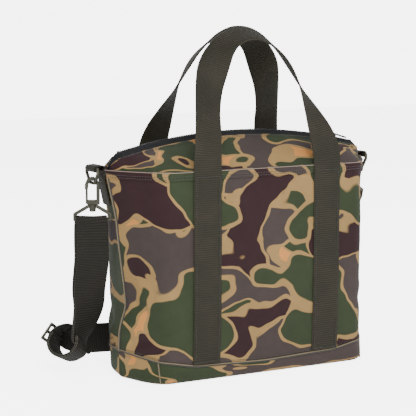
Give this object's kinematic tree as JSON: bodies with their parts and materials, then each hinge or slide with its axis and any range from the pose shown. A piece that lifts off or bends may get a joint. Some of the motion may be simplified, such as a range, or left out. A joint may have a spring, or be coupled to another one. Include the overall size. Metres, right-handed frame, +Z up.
{
  "type": "insulated cooler bag",
  "caption": "Zip-top insulated tote in camouflage canvas with a foam-lined boxed body, twin webbing handles and a shoulder strap clipped to side rings.",
  "frame": {"origin": "bottom centre of the flat base the bag stands on", "axes": "+X to the wearer's right along the length of the bag, -Y out of the front panel, +Z up"},
  "size_m": [0.4588, 0.2178, 0.4369],
  "materials": {
    "camouflage_canvas": null,
    "webbing": "ribbed dark olive webbing",
    "insulation_foam": "closed-cell foam",
    "lining": "wipe-clean coated lining",
    "zip_tape": "black woven tape",
    "zip_teeth": "black moulded teeth",
    "black_metal": "black painted metal",
    "olive_hardware": "olive drab painted metal, worn on edges"
  },
  "bodies": {
    "bag": {"back_panel": "camouflage_canvas", "base_panel": "camouflage_canvas", "collar_end_left": "camouflage_canvas", "collar_end_right": "camouflage_canvas", "foam_back": "insulation_foam", "foam_base": "insulation_foam", "foam_front": "insulation_foam", "foam_side_left": "insulation_foam", "foam_side_right": "insulation_foam", "front_panel": "camouflage_canvas", "handle_leg_back_left": "webbing", "handle_leg_back_right": "webbing", "handle_leg_front_left": "webbing", "handle_leg_front_right": "webbing", "liner": "lining", "strap_behind": "webbing", "strap_curl": "webbing", "strap_drop_left": "webbing", "tab_left": "webbing", "tab_right": "webbing", "zip_chain_end_left": "zip_teeth", "zip_chain_end_right": "zip_teeth", "zip_stop_left": "zip_teeth", "zip_stop_right": "zip_teeth"},
    "collar_front": {"collar_front": "camouflage_canvas", "zip_tape_front": "zip_tape", "zip_chain_front": "zip_teeth"},
    "collar_back": {"collar_back": "camouflage_canvas", "zip_tape_back": "zip_tape", "zip_chain_back": "zip_teeth"},
    "handle_front": {"handle_front": "webbing"},
    "handle_back": {"handle_back": "webbing"},
    "zip_slider": {"zip_slider": "black_metal"},
    "zip_pull": {"zip_pull": "black_metal"},
    "hook_left": {"d_ring_left": "olive_hardware", "hook_body_left": "olive_hardware", "gate_pin_left": "olive_hardware"},
    "hook_right": {"d_ring_right": "olive_hardware", "hook_body_right": "olive_hardware", "gate_pin_right": "olive_hardware"},
    "gate_left": {"hook_gate_left": "olive_hardware"},
    "gate_right": {"hook_gate_right": "olive_hardware"},
    "swivel_left": {"swivel_eye_left": "olive_hardware", "strap_end_left": "webbing"},
    "swivel_right": {"swivel_eye_right": "olive_hardware", "strap_end_right": "webbing"},
    "tri_glide": {"tri_glide": "olive_hardware"}
  },
  "joints": [
    {"name": "collar_front_open", "type": "hinge", "parent": "bag", "child": "collar_front", "pos_m": [0, -0.0684, 0.2566], "axis": [1, 0, 0], "range_deg": [0, 35]},
    {"name": "collar_back_open", "type": "hinge", "parent": "bag", "child": "collar_back", "pos_m": [0, 0.0684, 0.2566], "axis": [-1, 0, 0], "range_deg": [0, 35]},
    {"name": "handle_front_fold", "type": "hinge", "parent": "bag", "child": "handle_front", "pos_m": [0, -0.071, 0.2576], "axis": [1, 0, 0], "range_deg": [0, 150]},
    {"name": "handle_back_fold", "type": "hinge", "parent": "bag", "child": "handle_back", "pos_m": [0, 0.071, 0.2576], "axis": [-1, 0, 0], "range_deg": [0, 150]},
    {"name": "zip_run", "type": "hinge", "parent": "bag", "child": "zip_slider", "pos_m": [0, 0, -0.403], "axis": [0, -1, 0], "range_deg": [0, 22.8]},
    {"name": "zip_pull_flip", "type": "hinge", "parent": "zip_slider", "child": "zip_pull", "pos_m": [0.13892, 0, 0.28782], "axis": [0, -1, 0], "range_deg": [0, 150]},
    {"name": "hook_left_swing", "type": "hinge", "parent": "bag", "child": "hook_left", "pos_m": [-0.195, 0.016, 0.257], "axis": [0, 1, 0], "range_deg": [-1.5, 35]},
    {"name": "hook_right_swing", "type": "hinge", "parent": "bag", "child": "hook_right", "pos_m": [0.195, 0.016, 0.257], "axis": [0, -1, 0], "range_deg": [-1.5, 35]},
    {"name": "swivel_left_turn", "type": "hinge", "parent": "hook_left", "child": "swivel_left", "pos_m": [-0.195, 0.016, 0.2137], "axis": [0, 0, 1], "range_deg": [-35, 12]},
    {"name": "swivel_right_turn", "type": "hinge", "parent": "hook_right", "child": "swivel_right", "pos_m": [0.195, 0.02317, 0.21464], "axis": [0, -0.2588, 0.9659], "range_deg": [-12, 35]},
    {"name": "gate_left_press", "type": "hinge", "parent": "hook_left", "child": "gate_left", "pos_m": [-0.19897, 0.01811, 0.2163], "axis": [0.4695, 0.8829, 0], "range_deg": [0, 20], "stiffness_Nm_per_rad": 0.02, "springref_deg": -5.73},
    {"name": "gate_right_press", "type": "hinge", "parent": "hook_right", "child": "gate_right", "pos_m": [0.19897, 0.02454, 0.2177], "axis": [0.4695, -0.8529, -0.2285], "range_deg": [0, 20], "stiffness_Nm_per_rad": 0.02, "springref_deg": -5.73},
    {"name": "tri_glide_slide", "type": "hinge", "parent": "bag", "child": "tri_glide", "pos_m": [-0.2085, 0.0635, 0.0335], "axis": [-0.6509, -0.6109, 0.4507], "range_deg": [0, 35]}
  ]
}
